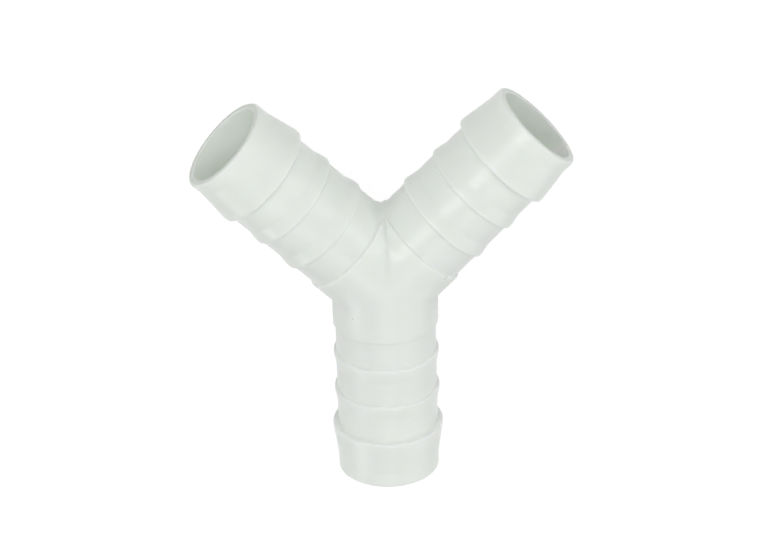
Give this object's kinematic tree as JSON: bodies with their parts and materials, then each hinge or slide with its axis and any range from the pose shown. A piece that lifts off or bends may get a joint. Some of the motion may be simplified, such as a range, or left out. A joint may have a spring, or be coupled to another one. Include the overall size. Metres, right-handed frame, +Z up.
{
  "type": "tubing y connector",
  "caption": "Y-shaped hose connector whose stem and branches carry grip rings and an end barb, joined by an open passage and moulded in milky white plastic.",
  "frame": {"origin": "on the floor, under the middle of the space that the part takes up; the middle of the hub is 3.46 mm towards +Y from it and 13.25 mm above it", "axes": "+Z up; the stem points along -Y, the branches lean towards +Y, 45 degrees to each side of it; the plane X = 0 and the level middle plane are planes of symmetry"},
  "size_m": [0.0902, 0.097, 0.0265],
  "materials": {
    "natural_nylon": "natural milky nylon, satin, faintly translucent, as moulded"
  },
  "bodies": {
    "root": {"y_connector": "natural_nylon"}
  },
  "joints": []
}
